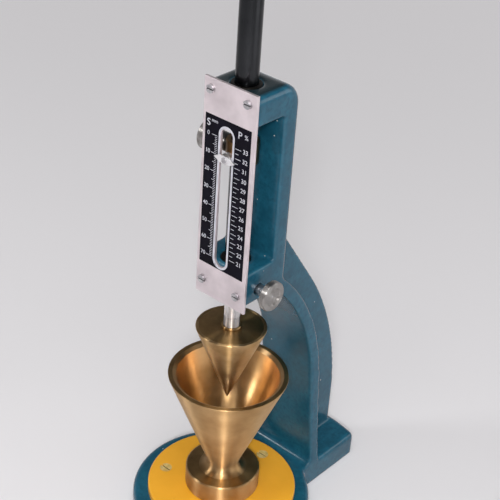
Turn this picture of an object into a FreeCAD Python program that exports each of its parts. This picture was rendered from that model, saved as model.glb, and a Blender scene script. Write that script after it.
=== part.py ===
import FreeCAD, Part
import os
import re
import Sketcher

# Vicat apparatus with a test cone and a cone mould.
# Millimetres, +Z up. The origin lies on the rod's axis, in the flat underside of the base.
# +X is the right side of the scale plate, seen by the person who reads it, and +Y runs back to the column.

# Driving dimensions
SIZES = {
    # Base, heel and column of the stand casting
    "base_radius": 52.5,
    "base_height": 16,
    "base_edge_round": 3,
    "heel_half_width": 26,
    "heel_back_radius": 99.5,
    "heel_corner_round": 3.2,
    "heel_root_round": 5,
    "foot_front": 52.6,
    "flange_thickness": 7.5,
    "throat_radius": 108,
    "throat_rise": 83.2,
    "flare_drop": 4.9,
    "foot_fillet": 5,
    "rib_half_thickness": 6,
    "rib_inset": 4.6,
    "rib_rise": 15.8,
    "rib_angle": 35.6,
    "rib_bend_radius": 180,
    "rib_merge_radius": 25,
    # Head of the stand casting
    "column_half_width": 17.6,
    "column_front": 10.6,
    "column_thickness": 12.3,
    "head_front": 11,
    "head_top": 278.2,
    "upper_lug_height": 15.5,
    "window_height": 84.5,
    "lower_lug_height": 19.5,
    "head_corner_round": 5,
    "head_back_round": 12,
    # Guide bushes
    "bush_radius": 8,
    "bush_chamfer": 0.5,
    "running_clearance": 0.05,
    # Sliding rod, chuck and stem
    "rod_radius": 6,
    "rod_showing_below": 6.1,
    "rod_showing_above": 76.8,
    "rod_chamfer": 0.8,
    "chuck_radius": 4.5,
    "chuck_height": 13,
    "chuck_chamfer": 0.8,
    "stem_radius": 3.1,
    "stem_grip": 6,
    "stem_showing": 6.6,
    "stem_shoulder": 1.3,
    "stem_foot_flange": 1.1,
    "stem_foot_height": 1.2,
    # Hollow test cone
    "cone_radius": 20,
    "cone_height": 50,
    "cone_wall": 2.6,
    "cone_lid_inset": 2,
    "cone_lid_thickness": 3,
    "lid_fit": 0.02,
    # Cone mould
    "mould_mouth_radius": 30,
    "mould_depth": 75,
    "mould_rim_width": 4,
    "mould_floor": 5,
    "mould_foot_radius": 21.7,
    "mould_foot_height": 12.8,
    "mould_lip_height": 0.6,
    "mould_bevel_width": 1.4,
    "mould_bevel_depth": 1.6,
    "mould_neck_round": 4.5,
    "mould_foot_chamfer": 1,
    # Table disc under the mould
    "table_radius": 43.75,
    "table_thickness": 4.5,
    "table_chamfer": 0.6,
    "table_screw_inset": 8.95,
    "table_screw_angle": 87,
    "table_screw_count": 3,
    "table_screw_radius": 2,
    "table_screw_head_radius": 3.6,
    "table_screw_head_height": 1.8,
    "table_screw_length": 11,
    "table_screw_slot_width": 0.9,
    "table_screw_slot_depth": 0.8,
    # Scale plate
    "plate_half_width": 17.25,
    "plate_shift": 1,
    "plate_drop": 3.6,
    "plate_rise": 2,
    "plate_thickness": 1.5,
    "slot_half_width": 4,
    "slot_drop": 1.8,
    "slot_length": 80,
    "plate_screw_inset": 5.1,
    "plate_screw_shift": 0.4,
    "plate_screw_fall": 3.7,
    "plate_screw_rise": 5.3,
    "plate_screw_radius": 1.25,
    "plate_screw_length": 6,
    "plate_screw_head_radius": 2.3,
    "plate_screw_head_height": 1.5,
    "plate_screw_slot_width": 0.6,
    "plate_screw_slot_depth": 0.7,
    "screw_clearance": 0.05,
    # Pointer collar and pointer
    "collar_radius": 8.6,
    "collar_rise": 56.7,
    "collar_height": 12.6,
    "collar_chamfer": 0.6,
    "collar_flat_depth": 0.5,
    "pointer_rise": 5,
    "pointer_half_length": 7,
    "pointer_half_body": 3.2,
    "pointer_half_height": 2.1,
    "pointer_thickness": 0.9,
    "pointer_gap": 0.3,
    "pointer_neck_half_width": 2.9,
    "pointer_neck_half_height": 1.7,
    "pointer_screw_radius": 0.9,
    "pointer_screw_bite": 0.6,
    "pointer_screw_head_radius": 1.5,
    "pointer_screw_head_height": 0.7,
    "pointer_screw_slot_width": 0.4,
    "pointer_screw_slot_depth": 0.35,
    # Thumbscrew of the pointer collar, on the left
    "collar_screw_rise": 6.5,
    "collar_screw_radius": 2,
    "collar_pad_thickness": 1,
    "collar_hub_radius": 4.8,
    "collar_hub_gap": 0.8,
    "collar_knob_gap": 2.9,
    "collar_knob_thickness": 4,
    "collar_knob_radius": 8.4,
    # Clamp screw of the lower lug, on the right
    "clamp_rise": 6.5,
    "clamp_screw_radius": 3,
    "clamp_shoe_thickness": 3.6,
    "clamp_hub_radius": 3.9,
    "clamp_hub_gap": 3.9,
    "clamp_hub_length": 2.5,
    "clamp_knob_thickness": 4,
    "clamp_knob_radius": 8.3,
    # What both thumbscrews share. The skin is what is left of the knob between its cup and the screw's end
    "shoe_gap": 0.12,
    "thread_clearance": 0.1,
    "knob_chamfer": 0.7,
    "knob_cup_radius": 5.4,
    "knob_cup_depth": 0.8,
    "knob_skin": 0.2,
    # How far a cut runs past the face that it opens
    "overrun": 5,
}

# Heights and places that follow from the driving dimensions
DERIVED = {
    "table_top": "base_height + table_thickness",
    "upper_lug_bottom": "head_top - upper_lug_height",
    "window_bottom": "upper_lug_bottom - window_height",
    "lower_lug_bottom": "window_bottom - lower_lug_height",
    "column_back": "column_front + column_thickness",
    "column_middle": "column_front + column_thickness / 2",
    "foot_back": "foot_front + flange_thickness",
    "foot_middle": "foot_front + flange_thickness / 2",
    "throat_low": "lower_lug_bottom - throat_rise",
    "throat_centre": "foot_front - throat_radius",
    "throat_top": "throat_centre + sqrt(throat_radius ^ 2 - throat_rise ^ 2)",
    "back_radius": "throat_radius + flange_thickness",
    "middle_radius": "throat_radius + flange_thickness / 2",
    "back_curve_top": "throat_low + sqrt(back_radius ^ 2 - (column_back - throat_centre) ^ 2)",
    "middle_curve_top": "throat_low + sqrt(middle_radius ^ 2 - (column_middle - throat_centre) ^ 2)",
    "heel_side_back": "sqrt(heel_back_radius ^ 2 - heel_half_width ^ 2)",
    "heel_side_front": "sqrt(base_radius ^ 2 - heel_half_width ^ 2)",
    "flare_top": "back_curve_top - flare_drop",
    "flare_step": "heel_half_width - column_half_width",
    "flare_radius": "((flare_top - base_height) ^ 2 + flare_step ^ 2) / (2 * flare_step)",
    "rib_back": "heel_back_radius - rib_inset",
    "rib_top": "window_bottom + rib_rise",
    "rib_corner": "rib_top - (rib_back - column_back) / tan(rib_angle)",
    "rib_tangent": "rib_bend_radius * tan(rib_angle / 2)",
    "rib_bend_place": "rib_back - rib_tangent * sin(rib_angle)",
    "rib_bend_height": "rib_corner + rib_tangent * cos(rib_angle)",
    "rib_bend_low": "rib_corner - rib_tangent",
    "rib_merge_tangent": "rib_merge_radius * tan(rib_angle / 2)",
    "rib_merge_top": "rib_top + rib_merge_tangent",
    "rib_merge_place": "column_back + rib_merge_tangent * sin(rib_angle)",
    "rib_merge_height": "rib_top - rib_merge_tangent * cos(rib_angle)",
    "bore_radius": "rod_radius + running_clearance",
    "rod_bottom": "lower_lug_bottom - rod_showing_below",
    "rod_top": "head_top + rod_showing_above",
    "chuck_bottom": "rod_bottom - chuck_height",
    "cone_top": "chuck_bottom - stem_showing",
    "stem_body_radius": "stem_radius + stem_shoulder",
    "stem_foot_radius": "stem_body_radius + stem_foot_flange",
    "stem_foot_top": "cone_top + stem_foot_height",
    "cone_tip": "cone_top - cone_height",
    "cone_slope": "cone_radius / cone_height",
    "cone_lid_radius": "cone_radius - cone_lid_inset",
    "cone_ledge": "cone_top - cone_lid_thickness",
    "cone_ledge_radius": "cone_radius - cone_lid_thickness * cone_slope - cone_wall",
    "cone_hollow_tip": "cone_ledge - cone_ledge_radius / cone_slope",
    "mould_bottom": "table_top + mould_floor",
    "mould_rim": "mould_bottom + mould_depth",
    "mould_slope": "mould_mouth_radius / mould_depth",
    "mould_rim_radius": "mould_mouth_radius + mould_rim_width",
    "mould_foot_top": "table_top + mould_foot_height",
    "mould_lip": "mould_rim - mould_lip_height",
    "mould_corner": "mould_rim_radius - mould_slope * (mould_lip - mould_foot_top)",
    "mould_angle": "atan(mould_slope)",
    "mould_tangent": "mould_neck_round * (1 + sin(mould_angle)) / cos(mould_angle)",
    "neck_radius": "mould_corner + mould_tangent * sin(mould_angle)",
    "neck_height": "mould_foot_top + mould_tangent * cos(mould_angle)",
    "plate_front": "head_front + plate_thickness",
    "plate_left": "plate_shift - plate_half_width",
    "plate_right": "plate_shift + plate_half_width",
    "plate_bottom": "lower_lug_bottom - plate_drop",
    "plate_top": "head_top + plate_rise",
    "slot_bottom": "window_bottom - slot_drop",
    "slot_top": "slot_bottom + slot_length",
    "plate_screw_half_spacing": "plate_half_width - plate_screw_inset",
    "plate_screw_left": "plate_screw_shift - plate_screw_half_spacing",
    "plate_screw_right": "plate_screw_shift + plate_screw_half_spacing",
    "plate_screw_low": "lower_lug_bottom + plate_screw_rise",
    "plate_screw_high": "head_top - plate_screw_fall",
    "plate_screw_hole": "plate_screw_radius + screw_clearance",
    "table_screw_circle": "table_radius - table_screw_inset",
    "table_screw_hole": "table_screw_radius + screw_clearance",
    "collar_bottom": "window_bottom + collar_rise",
    "collar_flat": "collar_radius - collar_flat_depth",
    "pointer_height": "collar_bottom + pointer_rise",
    "pointer_back": "plate_front + pointer_gap",
    "pointer_front": "pointer_back + pointer_thickness",
    "pointer_screw_hole": "pointer_screw_radius + screw_clearance",
    "pointer_screw_length": "pointer_front - collar_flat + pointer_screw_bite",
    "collar_screw_height": "collar_bottom + collar_screw_rise",
    "collar_screw_hole": "collar_screw_radius + thread_clearance",
    "collar_hub_start": "collar_radius + collar_hub_gap",
    "collar_knob_start": "column_half_width + collar_knob_gap",
    "collar_tip": "rod_radius + shoe_gap + collar_pad_thickness",
    "clamp_height": "lower_lug_bottom + clamp_rise",
    "clamp_hub_start": "column_half_width + clamp_hub_gap",
    "clamp_knob_start": "clamp_hub_start + clamp_hub_length",
    "clamp_screw_hole": "clamp_screw_radius + thread_clearance",
    "clamp_tip": "rod_radius + shoe_gap + clamp_shoe_thickness",
}

doc = FreeCAD.newDocument("VicatApparatus")
sheet = doc.addObject("Spreadsheet::Sheet", "Sizes")
for row, (name, number) in enumerate(SIZES.items(), start=1):
    sheet.set(f"A{row}", name)
    sheet.set(f"B{row}", str(number))
    sheet.setAlias(f"B{row}", name)
doc.recompute()

PARTS = []
CLOSE = 1e-3
ORIGIN = FreeCAD.Vector(0, 0, 0)
X_AXIS, Y_AXIS, Z_AXIS = (FreeCAD.Vector(*axis) for axis in ((1, 0, 0), (0, 1, 0), (0, 0, 1)))


def formula(text):
    """Turns the size names in a formula into references to the sheet's cells."""
    def word(match):
        name = match.group()
        if name in DERIVED:
            return f"({formula(DERIVED[name])})"
        return f"Sizes.{name}" if name in SIZES else name
    return re.sub(r"[a-z_]+", word, text)


def value(text):
    """Works a formula out as a number."""
    return float(sheet.evalExpression(formula(text)))


def bind(thing, **formulas):
    """Binds properties of an object to formulas. A double underscore in a keyword stands for a dot."""
    for path, text in formulas.items():
        thing.setExpression(path.replace("__", "."), formula(text))


def keep(thing, label):
    """Names a finished sub-part after its node and puts it on the list for export."""
    thing.Label = label
    PARTS.append(thing)
    return thing


def new_body(name):
    return doc.addObject("PartDesign::Body", f"Body_{name}")


def new_sketch(body, name, plane="XZ_Plane", lift=None):
    """Attaches a sketch to one of the body's origin planes, lifted along the plane's normal by a formula."""
    sketch = body.newObject("Sketcher::SketchObject", name)
    support = next(item for item in body.Origin.OriginFeatures if item.Role == plane)
    sketch.AttachmentSupport = [(support, "")]
    sketch.MapMode = "FlatFace"
    if lift:
        bind(sketch, AttachmentOffset__Base__z=lift)
    return sketch


def pin_point(sketch, edge, end, place):
    """Fixes one end of an edge at a place given by two formulas, on the axis where a formula is zero."""
    for text, kind, axis in zip(place, ("DistanceX", "DistanceY"), (-2, -1)):
        if text == "0":
            sketch.addConstraint(Sketcher.Constraint("PointOnObject", edge, end, axis))
        else:
            index = sketch.addConstraint(Sketcher.Constraint(kind, edge, end, value(text)))
            sketch.setExpression(f"Constraints[{index}]", formula(text))


def bind_radius(sketch, edge, radius):
    index = sketch.addConstraint(Sketcher.Constraint("Radius", edge, value(radius)))
    sketch.setExpression(f"Constraints[{index}]", formula(radius))


def draw_outline(sketch, corners):
    """Draws a closed outline through its corners.

    A corner is a pair of formulas. A third formula is the radius of an arc from this corner to the next,
    and a fourth entry, "left" or "right", is the side of the arc's centre, seen along the way.
    """
    points = [FreeCAD.Vector(value(corner[0]), value(corner[1]), 0) for corner in corners]
    edges = []
    for index, corner in enumerate(corners):
        start, end = points[index], points[(index + 1) % len(corners)]
        if len(corner) == 2:
            edge = sketch.addGeometry(Part.LineSegment(start, end), False)
            edges.append((edge, 1, 2))
            continue
        radius, chord = value(corner[2]), end - start
        side = 1 if corner[3] == "left" else -1
        across = FreeCAD.Vector(-chord.y, chord.x, 0).normalize() * side
        depth = (radius ** 2 - (chord.Length / 2) ** 2) ** 0.5
        centre = (start + end) / 2 + across * depth
        crown = centre - across * radius
        edge = sketch.addGeometry(Part.Arc(start, crown, end), False)
        forward = (sketch.getPoint(edge, 1) - start).Length < (sketch.getPoint(edge, 2) - start).Length
        edges.append((edge, 1, 2) if forward else (edge, 2, 1))
        bind_radius(sketch, edge, corner[2])
    for (edge, start, end), (following, first, last), corner in zip(edges, edges[1:] + edges[:1], corners):
        sketch.addConstraint(Sketcher.Constraint("Coincident", edge, end, following, first))
        pin_point(sketch, edge, start, corner[:2])


def draw_circle(sketch, x, y, radius):
    """Draws a circle whose centre and radius are formulas."""
    centre = FreeCAD.Vector(value(x), value(y), 0)
    circle = sketch.addGeometry(Part.Circle(centre, Z_AXIS, value(radius)), False)
    pin_point(sketch, circle, 3, (x, y))
    bind_radius(sketch, circle, radius)


def pad(body, sketch, length, symmetric=False):
    """Adds a pad along the sketch's normal, or to both sides of it."""
    feature = body.newObject("PartDesign::Pad", f"{sketch.Name}_pad")
    feature.Profile = sketch
    feature.SideType = "Symmetric" if symmetric else "One side"
    bind(feature, Length=length)
    return feature


def volume_of(body):
    doc.recompute()
    return body.Shape.Volume


def pocket(body, sketch, length=None, symmetric=False):
    """Cuts against the sketch's normal to a depth, or through everything, and checks that it has cut."""
    before = volume_of(body)
    feature = body.newObject("PartDesign::Pocket", f"{sketch.Name}_cut")
    feature.Profile = sketch
    feature.SideType = "Symmetric" if symmetric else "One side"
    if length:
        bind(feature, Length=length)
    else:
        feature.Type = "ThroughAll"
    if volume_of(body) >= before:
        raise RuntimeError(f"{feature.Name} cuts nothing")
    return feature


def round_edges(body, name, radius, chosen):
    """Rounds the edges of the body's last feature that a test picks out."""
    doc.recompute()
    base = body.Tip
    names = [f"Edge{index}" for index, edge in enumerate(base.Shape.Edges, start=1) if chosen(edge)]
    if not names:
        raise RuntimeError(f"{name} finds no edge to round")
    feature = body.newObject("PartDesign::Fillet", name)
    feature.Base = (base, names)
    bind(feature, Radius=radius)
    return feature


def turned(label, corners, axis=None, place=("0", "0", "0")):
    """Turns an outline of (radius, height) corners about an axis and seats the piece at its place."""
    body = new_body(label)
    sketch = new_sketch(body, f"{label}_profile")
    draw_outline(sketch, corners)
    feature = body.newObject("PartDesign::Revolution", f"{label}_turn")
    feature.Profile = sketch
    feature.ReferenceAxis = (sketch, ["V_Axis"])
    feature.Angle = 360
    seat(body, axis or Z_AXIS, place)
    return body


def seat(thing, axis, place):
    """Points a piece's own Z axis along an axis and binds its place to three formulas."""
    thing.Placement = FreeCAD.Placement(ORIGIN, FreeCAD.Rotation(Z_AXIS, axis))
    bind(thing, Placement__Base__x=place[0], Placement__Base__y=place[1], Placement__Base__z=place[2])


def ring(label, inner, outer, bottom, top, chamfer):
    """A plain bush or collar with both outer edges chamfered."""
    return turned(label, [
        (inner, bottom), (f"{outer} - {chamfer}", bottom), (outer, f"{bottom} + {chamfer}"),
        (outer, f"{top} - {chamfer}"), (f"{outer} - {chamfer}", top), (inner, top)])


def cross_hole(body, name, radius, height, start, length):
    """Drills a hole towards -X from a plane at x = start, at the rod's axis and a given height."""
    sketch = new_sketch(body, name, "YZ_Plane", start)
    draw_circle(sketch, "0", height, radius)
    return pocket(body, sketch, length)


def is_vertical(edge):
    """Tells whether an edge is a straight line along Z."""
    box = edge.BoundBox
    return max(box.XLength, box.YLength) < CLOSE < box.ZLength


def near(number, text):
    """Tells whether a number is what a formula gives."""
    return abs(number - value(text)) < CLOSE


def build_stand_casting():
    """Base disc, heel, curved column with its rear rib, and the head with its two lugs, cast in one piece."""
    body = new_body("stand_casting")

    plan = new_sketch(body, "base_plan", "XY_Plane")
    draw_outline(plan, [
        ("heel_half_width", "heel_side_front"),
        ("heel_half_width", "heel_side_back", "heel_back_radius", "left"),
        ("0 - heel_half_width", "heel_side_back"),
        ("0 - heel_half_width", "heel_side_front", "base_radius", "left"),
        ("0", "0 - base_radius", "base_radius", "left")])
    pad(body, plan, "base_height")
    round_edges(body, "heel_corners", "heel_corner_round",
                lambda edge: is_vertical(edge) and near(edge.Vertexes[0].Y, "heel_side_back"))
    round_edges(body, "heel_roots", "heel_root_round",
                lambda edge: is_vertical(edge) and near(edge.Vertexes[0].Y, "heel_side_front"))
    round_edges(body, "base_rim", "base_edge_round", lambda edge: near(edge.BoundBox.ZMin, "base_height"))

    profile = new_sketch(body, "column_profile", "YZ_Plane")
    draw_outline(profile, [
        ("foot_front - foot_fillet", "base_height / 2"),
        ("foot_front - foot_fillet", "base_height", "foot_fillet", "left"),
        ("foot_front", "base_height + foot_fillet"),
        ("foot_front", "throat_low", "throat_radius", "left"),
        ("throat_top", "lower_lug_bottom"),
        ("0 - head_front", "lower_lug_bottom"),
        ("0 - head_front", "window_bottom"),
        ("column_front", "window_bottom"),
        ("column_front", "upper_lug_bottom"),
        ("0 - head_front", "upper_lug_bottom"),
        ("0 - head_front", "head_top"),
        ("column_back - head_back_round", "head_top", "head_back_round", "right"),
        ("column_back", "head_top - head_back_round"),
        ("column_back", "back_curve_top", "back_radius", "right"),
        ("foot_back", "throat_low"),
        ("foot_back", "base_height / 2")])
    pad(body, profile, "2 * heel_half_width", symmetric=True)

    sides = new_sketch(body, "column_sides", "XZ_Plane")
    for sign, centre in (("", "left"), ("0 - ", "right")):
        draw_outline(sides, [
            (f"{sign}column_half_width", "head_top + overrun"),
            (f"{sign}column_half_width", "flare_top", "flare_radius", centre),
            (f"{sign}heel_half_width", "base_height"),
            (f"{sign}(heel_half_width + overrun)", "base_height + overrun"),
            (f"{sign}(heel_half_width + overrun)", "head_top + overrun")])
    pocket(body, sides, symmetric=True)
    round_edges(body, "head_corners", "head_corner_round",
                lambda edge: is_vertical(edge) and near(edge.Vertexes[0].Y, "column_back")
                and near(abs(edge.Vertexes[0].X), "column_half_width"))

    rib = new_sketch(body, "rib_profile", "YZ_Plane")
    draw_outline(rib, [
        ("column_middle", "rib_merge_top"),
        ("column_middle", "middle_curve_top", "middle_radius", "right"),
        ("foot_middle", "throat_low"),
        ("foot_middle", "base_height / 2"),
        ("rib_back", "base_height / 2"),
        ("rib_back", "rib_bend_low", "rib_bend_radius", "left"),
        ("rib_bend_place", "rib_bend_height"),
        ("rib_merge_place", "rib_merge_height", "rib_merge_radius", "right"),
        ("column_back", "rib_merge_top")])
    pad(body, rib, "2 * rib_half_thickness", symmetric=True)

    bores = new_sketch(body, "bush_bores", "XY_Plane", "head_top")
    draw_circle(bores, "0", "0", "bush_radius")
    pocket(body, bores, "head_top - lower_lug_bottom")
    cross_hole(body, "clamp_hole", "clamp_screw_hole", "clamp_height",
               "column_half_width", "column_half_width")

    tapped = new_sketch(body, "plate_screw_holes", "XZ_Plane", "head_front")
    for x in ("plate_screw_left", "plate_screw_right"):
        for z in ("plate_screw_low", "plate_screw_high"):
            draw_circle(tapped, x, z, "plate_screw_hole")
    pocket(body, tapped, "plate_screw_length - plate_thickness")

    table_holes = new_sketch(body, "table_screw_holes", "XY_Plane", "base_height")
    for x, y in table_screw_places():
        draw_circle(table_holes, x, y, "table_screw_hole")
    pocket(body, table_holes, "table_screw_length - table_thickness")
    return keep(body, "stand_casting")


def table_screw_places():
    """Formulas for the places of the table disc's screws, evenly spaced on their circle."""
    turns = range(SIZES["table_screw_count"])
    angles = [f"(table_screw_angle + {turn} * 360 / table_screw_count)" for turn in turns]
    return [(f"table_screw_circle * cos({angle})", f"table_screw_circle * sin({angle})") for angle in angles]


def build_bushes():
    """The two bushes that guide the rod, pressed into the lugs. The lower one lets the clamp shoe through."""
    upper = ring("upper_guide_bush", "bore_radius", "bush_radius",
                 "upper_lug_bottom", "head_top", "bush_chamfer")
    keep(upper, "upper_guide_bush")
    lower = ring("lower_guide_bush", "bore_radius", "bush_radius",
                 "lower_lug_bottom", "window_bottom", "bush_chamfer")
    cross_hole(lower, "shoe_hole", "clamp_screw_hole", "clamp_height", "bush_radius", "bush_radius")
    keep(lower, "lower_guide_bush")


def slotted_screw(name, sizes, countersunk):
    """A screw along +Z with its head's seat at z = 0: shank below, and a head with a driver slot above."""
    shank = doc.addObject("Part::Cylinder", f"{name}_shank")
    bind(shank, Radius=f"{sizes}_radius", Height=f"{sizes}_length",
         Placement__Base__z=f"0 - {sizes}_length")
    if countersunk:
        head = doc.addObject("Part::Cone", f"{name}_head")
        bind(head, Radius1=f"{sizes}_radius", Radius2=f"{sizes}_head_radius", Height=f"{sizes}_head_height",
             Placement__Base__z=f"0 - {sizes}_head_height")
        crown = "0"
    else:
        head = doc.addObject("Part::Cylinder", f"{name}_head")
        bind(head, Radius=f"{sizes}_head_radius", Height=f"{sizes}_head_height")
        crown = f"{sizes}_head_height"
    blank = doc.addObject("Part::Fuse", f"{name}_blank")
    blank.Base, blank.Tool = shank, head
    slot = doc.addObject("Part::Box", f"{name}_slot")
    bind(slot, Length=f"4 * {sizes}_head_radius", Width=f"{sizes}_slot_width",
         Height=f"2 * {sizes}_slot_depth",
         Placement__Base__x=f"0 - 2 * {sizes}_head_radius",
         Placement__Base__y=f"0 - {sizes}_slot_width / 2",
         Placement__Base__z=f"{crown} - {sizes}_slot_depth")
    screw = doc.addObject("Part::Cut", name)
    screw.Base, screw.Tool = blank, slot
    return screw


def screw_group(label, screws):
    """Puts like screws into one sub-part of separate solids."""
    group = doc.addObject("Part::Compound", f"Group_{label}")
    group.Links = screws
    return keep(group, label)


def build_table():
    """The painted disc on the base that the mould stands on, and its countersunk screws."""
    disc = doc.addObject("Part::Cylinder", "table_blank")
    bind(disc, Radius="table_radius", Height="table_thickness", Placement__Base__z="base_height")
    doc.recompute()
    edged = doc.addObject("Part::Chamfer", "table_edged")
    edged.Base = disc
    rim = [index for index, edge in enumerate(disc.Shape.Edges, start=1)
           if near(edge.CenterOfMass.z, "table_top") and edge.Length > value("table_radius")]
    edged.Edges = [(index, value("table_chamfer"), value("table_chamfer")) for index in rim]
    cutters, screws = [], []
    for number, (x, y) in enumerate(table_screw_places(), start=1):
        hole = doc.addObject("Part::Cylinder", f"table_hole_{number}")
        bind(hole, Radius="table_screw_hole", Height="table_thickness + 2 * overrun",
             Placement__Base__x=x, Placement__Base__y=y, Placement__Base__z="base_height - overrun")
        sink = doc.addObject("Part::Cone", f"table_sink_{number}")
        bind(sink, Radius1="table_screw_hole", Radius2="table_screw_head_radius + screw_clearance",
             Height="table_screw_head_height", Placement__Base__x=x, Placement__Base__y=y,
             Placement__Base__z="table_top - table_screw_head_height")
        cutters += [hole, sink]
        screw = slotted_screw(f"table_screw_{number}", "table_screw", countersunk=True)
        seat(screw, Z_AXIS, (x, y, "table_top"))
        screws.append(screw)
    holes = doc.addObject("Part::MultiFuse", "table_holes")
    holes.Shapes = cutters
    table = doc.addObject("Part::Cut", "table")
    table.Base, table.Tool = edged, holes
    keep(table, "table_disc")
    screw_group("table_screws", screws)


def build_mould():
    """The turned mould: conical cup with a bevelled mouth, waisted neck and round foot."""
    keep(turned("cone_mould", [
        ("0", "table_top"),
        ("mould_foot_radius - mould_foot_chamfer", "table_top"),
        ("mould_foot_radius", "table_top + mould_foot_chamfer"),
        ("mould_foot_radius", "mould_foot_top - mould_foot_chamfer"),
        ("mould_foot_radius - mould_foot_chamfer", "mould_foot_top"),
        ("mould_corner + mould_tangent", "mould_foot_top", "mould_neck_round", "right"),
        ("neck_radius", "neck_height"),
        ("mould_rim_radius", "mould_lip"),
        ("mould_rim_radius", "mould_rim"),
        ("mould_mouth_radius + mould_bevel_width", "mould_rim"),
        ("mould_mouth_radius - mould_slope * mould_bevel_depth", "mould_rim - mould_bevel_depth"),
        ("0", "mould_bottom")]), "cone_mould")


def build_scale_plate():
    """The slotted scale plate on the front of the two lugs, and its four slotted screws."""
    body = new_body("scale_plate")
    face = new_sketch(body, "plate_face", "XZ_Plane", "head_front")
    draw_outline(face, [
        ("plate_left", "plate_bottom"), ("plate_right", "plate_bottom"),
        ("plate_right", "plate_top"), ("plate_left", "plate_top")])
    draw_outline(face, [
        ("0 - slot_half_width", "slot_bottom + slot_half_width", "slot_half_width", "left"),
        ("0", "slot_bottom", "slot_half_width", "left"),
        ("slot_half_width", "slot_bottom + slot_half_width"),
        ("slot_half_width", "slot_top - slot_half_width", "slot_half_width", "left"),
        ("0", "slot_top", "slot_half_width", "left"),
        ("0 - slot_half_width", "slot_top - slot_half_width")])
    screws = []
    for side, x in (("left", "plate_screw_left"), ("right", "plate_screw_right")):
        for level, z in (("low", "plate_screw_low"), ("high", "plate_screw_high")):
            draw_circle(face, x, z, "plate_screw_hole")
            screw = slotted_screw(f"plate_screw_{side}_{level}", "plate_screw", countersunk=False)
            seat(screw, -Y_AXIS, (x, "0 - plate_front", z))
            screws.append(screw)
    pad(body, face, "plate_thickness")
    keep(body, "scale_plate")
    screw_group("plate_screws", screws)


def build_rod():
    """The sliding rod, and the chuck and stem that hang the test cone from it."""
    keep(turned("slide_rod", [
        ("0", "rod_bottom"), ("rod_radius - rod_chamfer", "rod_bottom"),
        ("rod_radius", "rod_bottom + rod_chamfer"), ("rod_radius", "rod_top - rod_chamfer"),
        ("rod_radius - rod_chamfer", "rod_top"), ("0", "rod_top")]), "slide_rod")
    keep(turned("stem_chuck", [
        ("stem_radius", "chuck_bottom"), ("chuck_radius - chuck_chamfer", "chuck_bottom"),
        ("chuck_radius", "chuck_bottom + chuck_chamfer"), ("chuck_radius", "rod_bottom"), ("0", "rod_bottom"),
        ("0", "chuck_bottom + stem_grip"), ("stem_radius", "chuck_bottom + stem_grip")]), "stem_chuck")
    keep(turned("cone_stem", [
        ("0", "cone_ledge"), ("stem_radius", "cone_ledge"), ("stem_radius", "cone_top"),
        ("stem_foot_radius", "cone_top"), ("stem_foot_radius", "stem_foot_top"),
        ("stem_body_radius", "stem_foot_top"), ("stem_body_radius", "chuck_bottom"),
        ("stem_radius", "chuck_bottom"), ("stem_radius", "chuck_bottom + stem_grip"),
        ("0", "chuck_bottom + stem_grip")]), "cone_stem")


def build_test_cone():
    """The hollow test cone and the lid that closes it."""
    keep(turned("test_cone", [
        ("0", "cone_tip"), ("cone_radius", "cone_top"), ("cone_lid_radius + lid_fit", "cone_top"),
        ("cone_lid_radius + lid_fit", "cone_ledge"), ("cone_ledge_radius", "cone_ledge"),
        ("0", "cone_hollow_tip")]), "test_cone")
    keep(turned("cone_lid", [
        ("stem_radius", "cone_ledge"), ("cone_lid_radius", "cone_ledge"), ("cone_lid_radius", "cone_top"),
        ("stem_radius", "cone_top")]), "cone_lid")


def build_pointer():
    """The collar on the rod, and the double-ended pointer that it carries through the plate's slot."""
    collar = ring("pointer_collar", "bore_radius", "collar_radius", "collar_bottom",
                  "collar_bottom + collar_height", "collar_chamfer")
    flat = new_sketch(collar, "pointer_seat", "XZ_Plane", "collar_radius + overrun")
    draw_outline(flat, [
        ("0 - collar_radius", "collar_bottom - overrun"), ("collar_radius", "collar_bottom - overrun"),
        ("collar_radius", "collar_bottom + collar_height + overrun"),
        ("0 - collar_radius", "collar_bottom + collar_height + overrun")])
    pocket(collar, flat, "collar_radius + overrun - collar_flat")
    tapped = new_sketch(collar, "pointer_screw_hole", "XZ_Plane", "collar_flat")
    draw_circle(tapped, "0", "pointer_height", "pointer_screw_hole")
    pocket(collar, tapped, "pointer_screw_bite")
    cross_hole(collar, "thumbscrew_hole", "collar_screw_hole", "collar_screw_height",
               "0", "collar_radius + overrun")
    keep(collar, "pointer_collar")

    body = new_body("pointer")
    neck = new_sketch(body, "pointer_neck", "XZ_Plane", "collar_flat")
    draw_outline(neck, [
        ("0 - pointer_neck_half_width", "pointer_height - pointer_neck_half_height"),
        ("pointer_neck_half_width", "pointer_height - pointer_neck_half_height"),
        ("pointer_neck_half_width", "pointer_height + pointer_neck_half_height"),
        ("0 - pointer_neck_half_width", "pointer_height + pointer_neck_half_height")])
    pad(body, neck, "pointer_back - collar_flat")
    blade = new_sketch(body, "pointer_blade", "XZ_Plane", "pointer_back")
    draw_outline(blade, [
        ("0 - pointer_half_length", "pointer_height"),
        ("0 - pointer_half_body", "pointer_height - pointer_half_height"),
        ("pointer_half_body", "pointer_height - pointer_half_height"),
        ("pointer_half_length", "pointer_height"),
        ("pointer_half_body", "pointer_height + pointer_half_height"),
        ("0 - pointer_half_body", "pointer_height + pointer_half_height")])
    pad(body, blade, "pointer_thickness")
    through = new_sketch(body, "pointer_bore", "XZ_Plane", "pointer_front")
    draw_circle(through, "0", "pointer_height", "pointer_screw_hole")
    pocket(body, through)
    keep(body, "pointer")

    screw = slotted_screw("pointer_screw_solid", "pointer_screw", countersunk=False)
    seat(screw, -Y_AXIS, ("0", "0 - pointer_front", "pointer_height"))
    keep(screw, "pointer_screw")


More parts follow.
